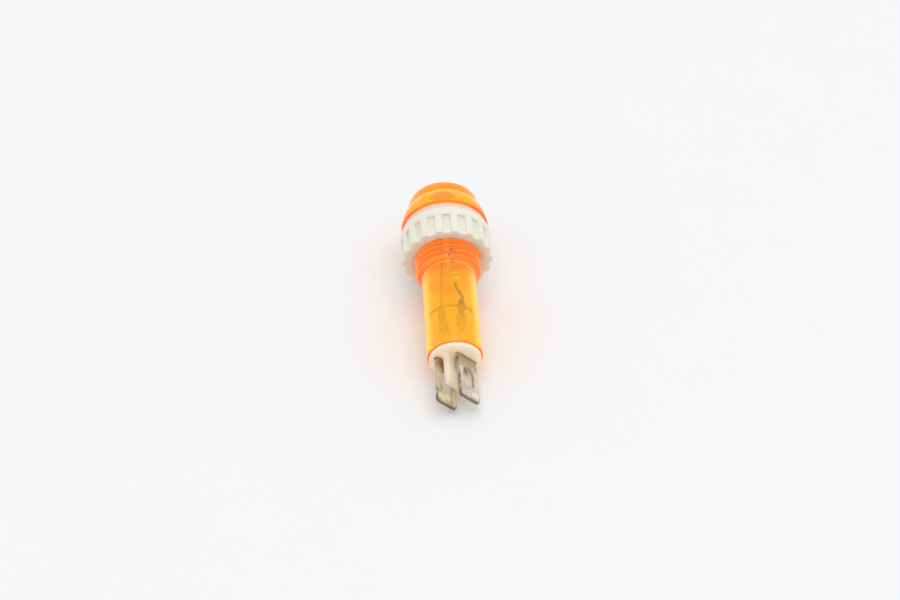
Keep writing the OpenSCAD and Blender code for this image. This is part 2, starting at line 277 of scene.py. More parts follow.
def revolve(outline, around, form=None):
    """Turns an outline of (r, z) about the axis. It ends on the axis, or else it is a loop."""
    points, rows, faces = [], [], []
    for r, z in outline:
        if r == 0:
            rows.append([len(points)] * around)
            points.append((0, 0, z))
            continue
        rows.append(range(len(points), len(points) + around))
        for i in range(around):
            a = TAU * i / around
            rr, zz = form(r, z, a) if form else (r, z)
            points.append((rr * math.cos(a), rr * math.sin(a), zz))
    if outline[0][0] != 0:
        rows.append(rows[0])
    for low, high in zip(rows, rows[1:]):
        for i in range(around):
            j = (i + 1) % around
            face = list(dict.fromkeys((low[i], low[j], high[j], high[i])))
            if len(face) > 2:
                faces.append(face)
    return points, faces


def blend(t):
    """A smooth step from 0 to 1."""
    t = min(max(t, 0.0), 1.0)
    return t * t * (3 - 2 * t)


def arc(cx, cz, r, start, end, steps):
    """Points on a round corner, in degrees from the r axis towards z."""
    return [
        (cx + r * math.cos(math.radians(start + (end - start) * i / steps)),
         cz + r * math.sin(math.radians(start + (end - start) * i / steps)))
        for i in range(steps + 1)
    ]


def line(a, b, steps):
    """Points from a up to, but without, b."""
    return [(a[0] + (b[0] - a[0]) * i / steps, a[1] + (b[1] - a[1]) * i / steps) for i in range(steps)]


def thread(z, a):
    """Depth of the right-hand thread below its crest at a height and an angle."""
    turn = z / THREAD_PITCH - a / TAU
    ridge = abs(2 * (turn - math.floor(turn)) - 1)
    return THREAD_DEPTH * blend((ridge - THREAD_FLAT) / THREAD_FLANK)


def neck_form(r, z, a):
    """Cuts the thread into the neck, with its crests lowered, down to a bevelled lead-in."""
    if r < NECK_R - 0.01 or not NECK_FOOT <= z <= THREAD_START:
        return r, z
    worn = NECK_R - CREST_WEAR * blend(-z / 0.3) - blend((THREAD_START - z) / 0.4) * thread(z, a)
    bevel = TUBE_R + 0.06 + (z - NECK_FOOT) / LEAD_IN * (NECK_R - CREST_WEAR - TUBE_R)
    return min(worn, bevel), z


def lens_outline():
    """From the top of the dome down to the seat, with the small ledge round the dome."""
    dome = []
    for i in range(40):
        a = math.pi / 2 * (1 - i / 39)
        power = 2 / DOME_POWER
        dome.append((
            DOME_R * max(math.cos(a), 0) ** power,
            KNEE_H + 0.05 + (DOME_H - 0.05) * math.sin(a) ** power,
        ))
    dome[0] = (0, KNEE_H + DOME_H)
    knee = arc(KNEE_R - 0.09, KNEE_H - 0.09, 0.09, 80, 10, 4)
    skirt = []
    for i in range(1, 13):
        t = 1 - i / 13
        bulge = SKIRT_BULGE * 4 * t * (1 - t)
        skirt.append((RIM_R + (KNEE_R - RIM_R) * t + bulge, RIM_H + (KNEE_H - RIM_H) * t))
    rim = arc(RIM_R - 0.08, RIM_H - 0.08, 0.08, 60, 0, 3) + arc(RIM_R - 0.06, 0.06, 0.06, 0, -90, 3)
    return dome + [(DOME_R + 0.03, KNEE_H + 0.02)] + knee + skirt + rim


def housing_outline():
    thread_rows = round(NECK_LEN * ROWS_PER_MM)
    neck_rows = [(NECK_R, NECK_FOOT * i / thread_rows) for i in range(thread_rows + 1)]
    shoulder = line((TUBE_R + 0.05, NECK_FOOT - 0.03), (TUBE_R, SHOULDER_FOOT), 4)
    tube = line((TUBE_R, SHOULDER_FOOT - 0.2), (TUBE_R, TUBE_END + 0.12), 16)
    end = arc(TUBE_R - 0.1, TUBE_END + 0.1, 0.1, 0, -90, 4)
    end += arc(BORE_R + 0.06, TUBE_END + 0.06, 0.06, -90, -180, 3)
    bore = line((BORE_R, TUBE_END + 0.2), (BORE_R, BORE_RISE), 24)
    cap = arc(0, BORE_RISE, BORE_R, 0, 90, 20)
    cap[-1] = (0, BORE_RISE + BORE_R)
    return lens_outline() + neck_rows + shoulder + tube + end + bore + cap


# The plastic's emission is a painted glow: it stands in for light passing through and scattering in the
# plastic, and the part is no lamp.
orange = Paint(
    "clear_orange_plastic", IOR=1.49, Transmission_Weight=0.92, Specular_IOR_Level=0.25,
    Emission_Strength=0.15,
)
x, y, z = orange.axes()
r = (x * x + y * y) ** 0.5
haze = orange.noise(0.55, detail=4)
flow = orange.noise(1.2, detail=2, stretch=(1, 1, 0.25))
scuffs = orange.noise(9, detail=5, stretch=(1, 1, 0.2), shift=(4, 7, 1))
on_neck = z.step(NECK_FOOT - 1.2, NECK_FOOT + 0.4) * (1 - z.step(-0.6, 0.4))
on_rim = r.step(RIM_R - 0.2, RIM_R - 0.05) * (1 - z.step(0.1, RIM_H))
on_end = 1 - z.step(TUBE_END, TUBE_END + 0.25)
dye_and_painted_light = orange.mix(haze, (1.0, 0.62, 0.02), (1.0, 0.71, 0.03))
dye_and_painted_light = orange.mix(z.step(KNEE_H - 0.3, KNEE_H), dye_and_painted_light, (1.0, 0.90, 0.02))
# Painted light: this deeper orange on the neck stands in for light's long path through the thick plastic.
dye_and_painted_light = orange.mix(on_neck * 0.75, dye_and_painted_light, (1.0, 0.42, 0.03))
# Painted highlight on the thread's crests and painted shade in its roots, laid along the thread's ridge.
ridge = abs((z / THREAD_PITCH - y.maths("ARCTAN2", x) / TAU).maths("FRACT") * 2 - 1)
dye_and_painted_light = orange.mix(on_neck * (1 - ridge.step(0.05, 0.35)) * 0.7, dye_and_painted_light, (1.0, 0.66, 0.34))
dye_and_painted_light = orange.mix(on_neck * ridge.step(0.6, 0.95) * 0.7, dye_and_painted_light, (0.95, 0.20, 0.012))
# Painted light: the deeper orange on the lens rim and the tube's end stands in for light's long path through
# the plastic.
dye_and_painted_light = orange.mix(on_rim.maths("MAXIMUM", on_end), dye_and_painted_light, (1.0, 0.27, 0.03))
on_top = (1 - abs(x - 0.4).step(0.3, 0.8)) * z.step(-11, -10) * (1 - z.step(-6.2, -5.9)) * (1 - y.step(-3, 0))
dye_and_painted_light = orange.mix(orange.spots(1.5, 0.3, shift=(0.2, 0, 0.3)) * on_top, dye_and_painted_light, (0.14, 0.05, 0.02))
orange.set(
    Base_Color=dye_and_painted_light, Emission_Color=dye_and_painted_light,
    Roughness=0.03 + flow * 0.05 + scuffs.step(0.62, 0.75) * 0.12,
)
orange.bump(flow * 0.7 + scuffs * 0.3, 0.25, 0.02)
orange.volume((0.998, 0.80, 0.0), 700)

housing = build("lens_housing_moulding", *revolve(housing_outline(), 160, neck_form), orange, crease=50)
seat(housing, "root", "orange_plastic", "lens_housing")


# ---------------------------------------------------------------------------
# Sealing washer: a soft translucent ring punched from sheet, loose on the neck
# behind the lens rim. The nut squeezes it, so its edges bulge a little.
# ---------------------------------------------------------------------------
WASHER_T = 1.1
WASHER_R = 6.2
WASHER_PLAY = 0.1
WASHER_BORE_R = NECK_R + WASHER_PLAY


def washer_outline():
    edge = 0.16
    outer = arc(WASHER_R - edge, -edge, edge, 90, 0, 4) + [(WASHER_R + 0.012, -WASHER_T / 2)]
    outer += arc(WASHER_R - edge, edge - WASHER_T, edge, 0, -90, 4)
    inner = arc(WASHER_BORE_R + edge, edge - WASHER_T, edge, -90, -180, 4)
    inner += arc(WASHER_BORE_R + edge, -edge, edge, 180, 90, 4)
    return outer + inner


soft = Paint(
    "soft_washer_plastic", Subsurface_Weight=0.35, Subsurface_Scale=0.9 * MM,
    Subsurface_Radius=(1.0, 0.6, 0.4), IOR=1.45,
)
cloud = soft.noise(0.9, detail=3)
soft.set(
    # The salmon colour is painted light: orange light through the lens rim falling on a pale washer.
    Base_Color=soft.mix(cloud, (0.98, 0.64, 0.53), (0.98, 0.73, 0.63)),
    Roughness=0.38 + cloud * 0.2,
)
soft.bump(soft.noise(6, detail=4), 0.3, 0.02)
washer = build("soft_sealing_washer", *revolve(washer_outline(), 128), soft)
seat(washer, "washer", "seal_plastic", "sealing_washer")


# ---------------------------------------------------------------------------
# Ring nut: moulded in cream plastic, with eighteen square pockets round it that
# are open to the rear and stop at a plain band, which leaves ribs for the
# fingers. One rib with its pocket is shaped and repeated round the bore, and
# the bore carries the thread that runs on the neck.
# ---------------------------------------------------------------------------
RIBS = 18
RIB_ANGLE = 360 / RIBS
RIB_COLUMNS = 18
NUT_R = 6.65
NUT_FRONT = -WASHER_T
NUT_H = 4.9
NUT_REAR = NUT_FRONT - NUT_H
POCKET_W = 1.2
POCKET_DEPTH = 0.4
NUT_BAND = 1.5
POCKET_END = NUT_FRONT - NUT_BAND
MOUTH_R = NECK_R + 0.25
NUT_RUN = 0.07
RIB_WELD = 0.002
BORE_WELD = 0.003


def rib_outline():
    """Half of one pocket and half of one rib, from the pocket's middle, as (x, y)."""
    half = POCKET_W / 2
    floor = NUT_R - POCKET_DEPTH

    def turned(degrees):
        return NUT_R * math.sin(math.radians(degrees)), NUT_R * math.cos(math.radians(degrees))

    return [
        (0, floor), (half * 0.45, floor), (half - 0.1, floor), (half - 0.03, floor + 0.03),
        (half, floor + 0.1), (half + 0.012, floor + 0.27), (half + 0.05, floor + 0.345),
        turned(6.3), turned(8.2), turned(RIB_ANGLE / 2),
    ]


def scale(loop, share):
    return [(x * share, y * share) for x, y in loop]


def between(a, b, t):
    return [((1 - t) * p[0] + t * q[0], (1 - t) * p[1] + t * q[1]) for p, q in zip(a, b)]


def rib_sector():
    """The mesh of one pocket with half a rib on each side, open at the bore and at both sides."""
    half = rib_outline()
    low = [(-x, y) for x, y in reversed(half[1:])] + half
    angles = [
        math.radians(-RIB_ANGLE / 2 + RIB_ANGLE * i / RIB_COLUMNS) for i in range(RIB_COLUMNS + 1)
    ]

    def ring(r):
        return [(r * math.sin(a), r * math.cos(a)) for a in angles]

    high, mouth = ring(NUT_R), ring(MOUTH_R)
    inset = scale(low, 1 - 0.11 / NUT_R)
    # Each row's third number is painted shade with some grime: darkest deep in the pockets, lighter at the
    # bore's mouths.
    rows = [
        (mouth, NUT_REAR, 0.3), (between(mouth, inset, 0.5), NUT_REAR, 0.1), (inset, NUT_REAR, 0.0),
        (scale(low, 1 - 0.03 / NUT_R), NUT_REAR + 0.03, 0.0), (low, NUT_REAR + 0.11, 0.1),
        (low, NUT_REAR + 1.2, 0.2), (low, NUT_REAR + 2.4, 0.5), (low, POCKET_END - 0.3, 0.8),
        (low, POCKET_END - 0.05, 1.0), (between(low, high, 0.12), POCKET_END - 0.005, 1.0),
        (between(low, high, 0.85), POCKET_END + 0.01, 0.4), (high, POCKET_END + 0.06, 0.1),
        (high, POCKET_END + 0.5, 0.0), (high, NUT_FRONT - 0.25, 0.0),
        (ring(NUT_R - 0.05), NUT_FRONT - 0.1, 0.0), (ring(NUT_R - 0.14), NUT_FRONT - 0.03, 0.0),
        (ring(NUT_R - 0.25), NUT_FRONT, 0.0),
        (between(mouth, high, 0.4), NUT_FRONT, 0.1), (mouth, NUT_FRONT, 0.3),
    ]
    points = [(x * MM, y * MM, z * MM) for loop, z, _ in rows for x, y in loop]
    in_pocket = [math.hypot(x, y) < NUT_R - 0.2 for x, y in low]
    grime_and_painted_shade = [g * (1.0 if inside or g < 0.2 else 0.15) for loop, _, g in rows for inside in in_pocket]
    wide = RIB_COLUMNS + 1
    faces = [
        (v * wide + u, v * wide + u + 1, (v + 1) * wide + u + 1, (v + 1) * wide + u)
        for v in range(len(rows) - 1) for u in range(RIB_COLUMNS)
    ]
    mesh = bpy.data.meshes.new("nut_rib")
    mesh.from_pydata(points, [], faces)
    mesh.attributes.new("grime_and_painted_shade", "FLOAT", "POINT").data.foreach_set("value", grime_and_painted_shade)
    return mesh


def repeat_round(mesh, count, paint, seed):
    """Repeats a mesh round the Z axis by a node tree, and welds the copies into one mesh."""
    tree = bpy.data.node_groups.new("ribs_round_the_nut", "GeometryNodeTree")
    sockets = {}
    for name, kind, way in (
        ("Rib", "NodeSocketGeometry", "INPUT"), ("Count", "NodeSocketInt", "INPUT"),
        ("Weld", "NodeSocketFloat", "INPUT"), ("Seed", "NodeSocketInt", "INPUT"),
        ("Finish", "NodeSocketMaterial", "INPUT"), ("Nut", "NodeSocketGeometry", "OUTPUT"),
    ):
        sockets[name] = tree.interface.new_socket(name=name, in_out=way, socket_type=kind)

    def node(kind, **settings):
        made = tree.nodes.new(kind)
        for key, value in settings.items():
            setattr(made, key, value)
        return made

    start, end = node("NodeGroupInput"), node("NodeGroupOutput")
    points, place = node("GeometryNodePoints"), node("GeometryNodeInstanceOnPoints")
    index = node("GeometryNodeInputIndex")
    share, turn = node("ShaderNodeMath", operation="DIVIDE"), node("ShaderNodeMath", operation="MULTIPLY")
    spin, way = node("ShaderNodeCombineXYZ"), node("FunctionNodeEulerToRotation")
    chance = node("FunctionNodeRandomValue", data_type="FLOAT")
    keep = node("GeometryNodeStoreNamedAttribute", data_type="FLOAT", domain="INSTANCE")
    real, weld = node("GeometryNodeRealizeInstances"), node("GeometryNodeMergeByDistance")
    dress = node("GeometryNodeSetMaterial")
    turn.inputs[1].default_value = TAU
    keep.inputs["Name"].default_value = "rib_shade"
    tree.links.new(next(s for s in chance.outputs if s.enabled), keep.inputs["Value"])
    for source, output, target, socket in (
        (start, "Count", points, "Count"), (index, 0, share, 0), (start, "Count", share, 1),
        (share, 0, turn, 0), (turn, 0, spin, "Z"), (spin, 0, way, 0), (points, 0, place, "Points"),
        (start, "Rib", place, "Instance"), (way, 0, place, "Rotation"), (start, "Seed", chance, "Seed"),
        (index, 0, chance, "ID"), (place, 0, keep, "Geometry"), (keep, 0, real, 0),
        (real, 0, weld, "Geometry"), (start, "Weld", weld, "Distance"), (weld, 0, dress, "Geometry"),
        (start, "Finish", dress, "Material"), (dress, 0, end, "Nut"),
    ):
        tree.links.new(source.outputs[output], target.inputs[socket])

    holder = add("nut_rib", mesh)
    ribs = holder.modifiers.new("ribs", "NODES")
    ribs.node_group = tree
    ribs[sockets["Count"].identifier] = count
    ribs[sockets["Weld"].identifier] = RIB_WELD * MM
    ribs[sockets["Seed"].identifier] = seed
    ribs[sockets["Finish"].identifier] = paint.material
    made = evaluated_mesh(holder)
    bpy.data.objects.remove(holder)
    return made


def nut_bore(around):
    """The threaded bore between the two mouths, as a strip of points and faces in metres."""
    rows = 60
    points, faces = [], []
    for v in range(rows + 1):
        z = NUT_REAR + (NUT_FRONT - NUT_REAR) * v / rows
        open_up = max(1 - (z - NUT_REAR) / 0.3, 1 - (NUT_FRONT - z) / 0.3, 0)
        for i in range(around):
            a = math.pi / 2 - TAU * (i / around - 0.5 / RIBS)
            r = NECK_R + NUT_RUN - thread(z, a)
            r += (MOUTH_R - r) * blend(open_up)
            points.append((r * math.cos(a) * MM, r * math.sin(a) * MM, z * MM))
    for v in range(rows):
        for i in range(around):
            j = (i + 1) % around
            faces.append((v * around + i, v * around + j, (v + 1) * around + j, (v + 1) * around + i))
    return points, faces


cream = Paint(
    "cream_nut_plastic", Subsurface_Weight=0.12, Subsurface_Scale=0.6 * MM,
    Subsurface_Radius=(1.0, 0.8, 0.55), IOR=1.5,
)
mottle = cream.noise(1.6, detail=4)
dust = cream.noise(14, detail=3, shift=(3, 1, 8))
grime_and_painted_shade = cream.attribute("grime_and_painted_shade")
x, y, z = cream.axes()
near_neck = 1 - ((x * x + y * y) ** 0.5).step(5.1, 6.3)
rear = 1 - z.step(NUT_REAR - 0.01, NUT_REAR + 0.1)
body = cream.mix(mottle, (0.90, 0.87, 0.73), (0.94, 0.91, 0.785))
body = cream.mix(cream.attribute("rib_shade") * 0.25, body, (0.84, 0.83, 0.74))
# Painted light and shade: the rear face, more so near the neck, is painted darker and orange for the tube's
# orange light falling on it.
body = cream.mix(rear * (0.35 + near_neck * 0.25), body, (0.80, 0.60, 0.46))
# Painted shade with some grime, deepest at the pockets' front ends.
cream.set(
    Base_Color=cream.mix(grime_and_painted_shade * (0.12 + dust * 0.3), body, (0.50, 0.46, 0.34)),
    Roughness=0.36 + mottle * 0.12 + grime_and_painted_shade * 0.1,
)
cream.bump(mottle * 0.4 + dust * 0.3, 0.3, 0.02)


def ring_nut():
    mesh = repeat_round(rib_sector(), RIBS, cream, seed=7)
    work = bmesh.new()
    work.from_mesh(mesh)
    points, faces = nut_bore(RIBS * RIB_COLUMNS)
    corners = [work.verts.new(p) for p in points]
    for face in faces:
        work.faces.new([corners[i] for i in face])
    bmesh.ops.remove_doubles(work, verts=work.verts, dist=BORE_WELD * MM)
    work.to_mesh(mesh)
    work.free()
    mesh.transform(LAMP)
    return finish(mesh, "ribbed_ring_nut", cream, crease=42)


seat(ring_nut(), "nut", "cream_plastic", "ring_nut")


# ---------------------------------------------------------------------------
# Base plug: an ivory moulding pushed into the tube's end. A thin skirt runs up
# the bore, a flange closes the end, two slots hold the terminals, and a tapered
# wall stands between the tabs.
# ---------------------------------------------------------------------------
FLANGE_R = 3.675
FLANGE_T = 0.5
FLOOR_T = 1.6
PLUG_FACE = TUBE_END - FLANGE_T
FLOOR_TOP = TUBE_END + FLOOR_T
SKIRT_PLAY = 0.03
SKIRT_R = BORE_R - SKIRT_PLAY
SKIRT_WALL = 0.45
SKIRT_LEN = 6.9
SKIRT_TOP = TUBE_END + SKIRT_LEN
BARRIER_T = 1.0
BARRIER_TIP_T = 0.8
BARRIER_W = 4.2
BARRIER_LEN = 4.8
BARRIER_CORNER = 0.4
METAL_T = 0.5
TAB_W = 3.75
TAB_OFFSET = 1.35
TAB_SHIFT = 0.7
TAB_TURN = 46.5
SLOT_RUN = 0.05


def on_side(point, side):
    """A point of a terminal's own frame, in which its tab is parallel to X, on its side."""
    a = math.radians(TAB_TURN + 180 * side)
    x, y, z = point
    return (x * math.cos(a) - y * math.sin(a), x * math.sin(a) + y * math.cos(a), z)


def plug_outline():
    edge = 0.12
    face = [(0, PLUG_FACE), (1.2, PLUG_FACE), (2.6, PLUG_FACE)]
    face += arc(FLANGE_R - edge, PLUG_FACE + edge, edge, -90, 0, 4)
    face += [(FLANGE_R, TUBE_END - 0.06), (FLANGE_R - 0.05, TUBE_END - 0.01), (SKIRT_R, TUBE_END - 0.005)]
    outside = line((SKIRT_R, TUBE_END + 0.05), (SKIRT_R, SKIRT_TOP - 0.05), 12)
    lip = [(SKIRT_R, SKIRT_TOP - 0.05), (SKIRT_R - 0.05, SKIRT_TOP), (SKIRT_R - SKIRT_WALL + 0.05, SKIRT_TOP)]
    bore = SKIRT_R - SKIRT_WALL
    inside = line((bore, SKIRT_TOP - 0.06), (bore, FLOOR_TOP + 0.25), 10)
    floor = arc(bore - 0.25, FLOOR_TOP + 0.25, 0.25, 0, -90, 4) + [(0, FLOOR_TOP)]
    return face + outside + lip + inside + floor


def rounded_box(width, depth, corner, steps=5):
    """A rectangle with round corners, as a loop of (x, y)."""
    loop = []
    for k, (sx, sy) in enumerate(((1, 1), (-1, 1), (-1, -1), (1, -1))):
        for i in range(steps + 1):
            a = math.pi / 2 * (k + i / steps)
            loop.append((sx * (width / 2 - corner) + corner * math.cos(a),
                         sy * (depth / 2 - corner) + corner * math.sin(a)))
    return loop


def skin(loops):
    """Joins equal loops of points into one shell with closed ends."""
    n = len(loops[0])
    points = [p for loop in loops for p in loop]
    faces = [
        (v * n + i, v * n + (i + 1) % n, (v + 1) * n + (i + 1) % n, (v + 1) * n + i)
        for v in range(len(loops) - 1) for i in range(n)
    ]
    faces += [tuple(range(n - 1, -1, -1)), tuple(range((len(loops) - 1) * n, len(loops) * n))]
    return points, faces


def barrier_loops():
    """Sections of the wall between the tabs, from inside the flange to its free edge."""
    loops = []
    heights = [0.15, 0, -0.08, -0.2, -0.4, -1.2, -2.2, -3.2, -4.0, -4.4, -4.6, -4.72, -4.78, -4.8]
    for h in heights:
        flare = 0.3 * (1 - blend((-h - 0.02) / 0.35)) if h <= 0 else 0.3
        thick = BARRIER_T + (BARRIER_TIP_T - BARRIER_T) * max(-h, 0) / BARRIER_LEN + flare
        width = BARRIER_W + flare
        into = max(0, BARRIER_CORNER - (BARRIER_LEN + h))
        width -= 2 * (BARRIER_CORNER - math.sqrt(max(BARRIER_CORNER ** 2 - into ** 2, 0)))
        edge = max(0, 0.12 - (BARRIER_LEN + h))
        thick -= 2 * (0.12 - math.sqrt(max(0.12 ** 2 - edge ** 2, 0)))
        corner = min(0.16, thick / 2 - 0.02)
        loops.append([on_side((x, y, PLUG_FACE + h), 0) for x, y in rounded_box(width, thick, corner)])
    return loops


def slot_loops(side):
    """The hole that a terminal goes through, rounded a little at the plug's face."""
    loops = []
    for z, grow in (
        (PLUG_FACE - 0.5, 0.08), (PLUG_FACE, 0.08), (PLUG_FACE + 0.06, 0.02),
        (PLUG_FACE + 0.12, 0.0), (FLOOR_TOP + 0.5, 0.0),
    ):
        box = rounded_box(TAB_W + 2 * (SLOT_RUN + grow), METAL_T + 2 * (SLOT_RUN + grow), 0.05 + grow * 0.5)
        loops.append([on_side((x + TAB_SHIFT, y - TAB_OFFSET, z), side) for x, y in box])
    return loops


def combine(target, tool, operation):
    """Adds a closed tool to a piece, or cuts it out, and removes the tool."""
    change = target.modifiers.new(operation, "BOOLEAN")
    change.operation, change.object, change.solver = operation, tool, "EXACT"
    mesh = evaluated_mesh(target)
    target.modifiers.clear()
    old = target.data
    target.data = mesh
    bpy.data.meshes.remove(old)
    bpy.data.objects.remove(tool)


def shade_again(piece, crease):
    mark_places(piece.data)
    piece.data.shade_smooth()
    piece.data.set_sharp_from_angle(angle=math.radians(crease))


# The emission near the plug's face is a painted glow for the tube's orange light falling on it.
ivory = Paint(
    "ivory_plug_plastic", Subsurface_Weight=0.25, Subsurface_Scale=0.8 * MM,
    Subsurface_Radius=(1.0, 0.75, 0.45), IOR=1.5, Emission_Strength=0.11,
)
x, y, z = ivory.axes()
cloud = ivory.noise(0.8, detail=4)
grain = ivory.noise(7, detail=4, shift=(2, 5, 3))
a = math.radians(TAB_TURN)
along, across = x * math.cos(a) + y * math.sin(a), y * math.cos(a) - x * math.sin(a)
near_slot = (1 - abs(abs(across) - TAB_OFFSET).step(0.2, 0.95)) * (1 - abs(along).step(2.0, 3.2))
near_face = 1 - abs(z - PLUG_FACE).step(0.1, 1.1)
body = ivory.mix(cloud, (0.97, 0.84, 0.64), (0.98, 0.89, 0.73))
body = ivory.mix(near_slot * near_face * 0.7, body, (0.92, 0.72, 0.36))
tip = 1 - z.step(PLUG_FACE - BARRIER_LEN, PLUG_FACE - BARRIER_LEN * 0.4)
# Painted shade on the wall between the tabs, near its root at the plug's face.
root = (1 - z.step(PLUG_FACE - 0.15, PLUG_FACE)) * z.step(PLUG_FACE - 3.2, PLUG_FACE - 0.6)
body = ivory.mix(root * 0.8, body, (0.80, 0.70, 0.52))
body = ivory.mix(tip * (0.25 + cloud * 0.3), body, (0.74, 0.68, 0.42))
# Painted shade: a dark line on the upper side of the skirt's top edge, inside the tube.
lip = z.step(SKIRT_TOP - 0.2, SKIRT_TOP - 0.1) * (1 - y.step(-1.5, 0.8))
body = ivory.mix(lip, body, (0.46, 0.18, 0.04))
ivory.set(
    Emission_Color=ivory.mix(near_face, (0.0, 0.0, 0.0), (1.0, 0.62, 0.24)),
    Base_Color=ivory.mix(ivory.spots(1.3, 0.1) * 0.5, body, (0.40, 0.30, 0.14)),
    Roughness=0.34 + grain * 0.16,
    Alpha=1 - z.step(TUBE_END + 0.8, FLOOR_TOP + 0.6) * 0.82 + lip * 0.65,
)
ivory.bump(grain * 0.5 + cloud * 0.5, 0.35, 0.025)

plug = build("ivory_base_plug", *revolve(plug_outline(), 96), ivory)
combine(plug, build("barrier", *skin(barrier_loops()), ivory), "UNION")
for side in (0, 1):
    combine(plug, build("slot", *skin(slot_loops(side)), ivory), "DIFFERENCE")
shade_again(plug, 38)
seat(plug, "root", "ivory_plastic", "base_plug")


# ---------------------------------------------------------------------------
# Terminals: two stampings of plated brass, half a millimetre thick. Each tab
# has an oval wire hole and clipped corners; inside the tube the metal narrows to
# a neck and ends in a lug, twisted to lock it behind the plug's floor. The
# plating is tarnished: brassy on the left tab, grey and stained on the right.
# ---------------------------------------------------------------------------
TAB_LEN = 7.1
TAB_CORNER = 0.45
HOLE_W = 2.0
HOLE_LEN = 3.3
HOLE_DROP = 3.4
SPLAY = (0.5, 2.5)
LUG_W = 1.4
LUG_LEN = 2.0
LUG_TWIST = 31
LUG_FOOT = FLOOR_TOP + 3.4
LUG_TOP = LUG_FOOT + LUG_LEN
TONGUE_W = 0.7
TONGUE_TOP = LUG_TOP + 1.8
LUG_SHIFT = 0.3
SHANK_LEN = FLANGE_T + FLOOR_T
PARALLEL = 1e-9


def toward(loop_point, centre):
    return math.atan2(loop_point[1] - centre[1], loop_point[0] - centre[0])


def tab_edge(angle, grow):
    """Where a ray from the hole's middle meets the tab's outline, as (across, down)."""
    half = TAB_W / 2 + grow
    foot, head = TAB_LEN + grow, -SHANK_LEN
    dx, dy = math.cos(angle), math.sin(angle)
    drop = (foot - HOLE_DROP) if dy > 0 else (HOLE_DROP - head)
    reach = min(
        half / abs(dx) if abs(dx) > PARALLEL else 1 / PARALLEL,
        drop / abs(dy) if abs(dy) > PARALLEL else 1 / PARALLEL,
    )
    x, d = dx * reach, HOLE_DROP + dy * reach
    corner = TAB_CORNER
    cx, cd = half - corner, foot - corner
    if abs(x) > cx and d > cd:
        # slide the point along the ray onto the round corner
        px, pd = math.copysign(cx, x), cd
        ox, od = -px, HOLE_DROP - pd
        b = ox * dx + od * dy
        c = ox * ox + od * od - corner * corner
        t = -b + math.sqrt(max(b * b - c, 0))
        x, d = dx * t, HOLE_DROP + dy * t
    return x, d


def hole_edge(angle, grow):
    """The same for the oval wire hole."""
    r, straight = HOLE_W / 2 + grow, (HOLE_LEN - HOLE_W) / 2
    dx, dy = math.cos(angle), math.sin(angle)
    t = r / abs(dx) if abs(dx) > PARALLEL else 1 / PARALLEL
    if abs(dy * t) > straight:
        cd = math.copysign(straight, dy)
        b = cd * dy
        t = b + math.sqrt(max(b * b - (cd * cd - r * r), 0))
    return dx * t, HOLE_DROP + dy * t


def loop_angles():
    """Directions that keep the loops' points even along the tab's long outline."""
    around = [
        toward(p, (0, HOLE_DROP)) for p in (
            [(TAB_W / 2, -SHANK_LEN + (TAB_LEN + SHANK_LEN - TAB_CORNER) * i / 26) for i in range(26)]
            + [(TAB_W / 2 - TAB_CORNER + TAB_CORNER * math.cos(a),
                TAB_LEN - TAB_CORNER + TAB_CORNER * math.sin(a))
               for a in (math.pi / 2 * i / 6 for i in range(6))]
            + [(TAB_W / 2 - TAB_CORNER - (TAB_W - 2 * TAB_CORNER) * i / 12, TAB_LEN) for i in range(13)]
        )
    ]
    right = [a for a in around if -math.pi / 2 < a < math.pi / 2 + 1e-6]
    left = [math.pi - a for a in reversed(right) if a < math.pi / 2 - 1e-6]
    top = [-math.pi / 2 + s for s in (-0.24, -0.12, 0, 0.12, 0.24)]
    return sorted(set(round(a % TAU, 6) for a in right + left + top))


def tab_piece(side):
    """The flat tab with its shank in the slot, as closed rings of points round the hole."""
    half, bevel = METAL_T / 2, 0.07
    angles = loop_angles()
    shape = random.Random(11 + side)
    # across the metal: n is the height above its middle, s the share from hole to edge
    section = [
        ("hole", 0.0, half - bevel, 1), ("hole", bevel * 0.35, half - bevel * 0.35, 1),
        ("hole", bevel, half, 0.9),
        ("both", 0.12, half, 0.35), ("both", 0.5, half, 0.0), ("both", 0.85, half, 0.3),
        ("edge", -bevel * 1.3, half, 0.9), ("edge", -bevel * 0.4, half - bevel * 0.4, 1),
        ("edge", 0.0, half - bevel * 1.3, 1), ("edge", 0.0, -half + bevel * 0.6, 1),
        ("edge", -bevel * 0.5, -half, 0.95), ("both", 0.85, -half, 0.3), ("both", 0.5, -half, 0.0),
        ("both", 0.12, -half, 0.35), ("hole", bevel * 0.6, -half, 0.9), ("hole", 0.0, -half + bevel * 0.6, 1),
    ]
    ragged = [shape.uniform(-0.02, 0.02) for _ in angles]
    points, wear = [], []
    splay = math.radians(SPLAY[side])
    for kind, s, n, mark in section:
        for i, angle in enumerate(angles):
            if kind == "hole":
                x, d = hole_edge(angle, s)
            elif kind == "edge":
                x, d = tab_edge(angle, s + min(0, ragged[i] - 0.01))
            else:
                (hx, hd), (ex, ed) = hole_edge(angle, bevel), tab_edge(angle, -bevel)
                x, d = hx + (ex - hx) * s, hd + (ed - hd) * s
            if d > 0:
                out = TAB_OFFSET + d * math.sin(splay) + n * math.cos(splay)
                z = PLUG_FACE - d * math.cos(splay) + n * math.sin(splay)
            else:
                out, z = TAB_OFFSET + n, PLUG_FACE - d
            points.append(on_side((TAB_SHIFT + x, -out, z), side))
            wear.append(mark)
    n = len(angles)
    rows = len(section)
    faces = [
        (v * n + i, v * n + (i + 1) % n, (v + 1) % rows * n + (i + 1) % n, (v + 1) % rows * n + i)
        for v in range(rows) for i in range(n)
    ]
    return points, faces, wear


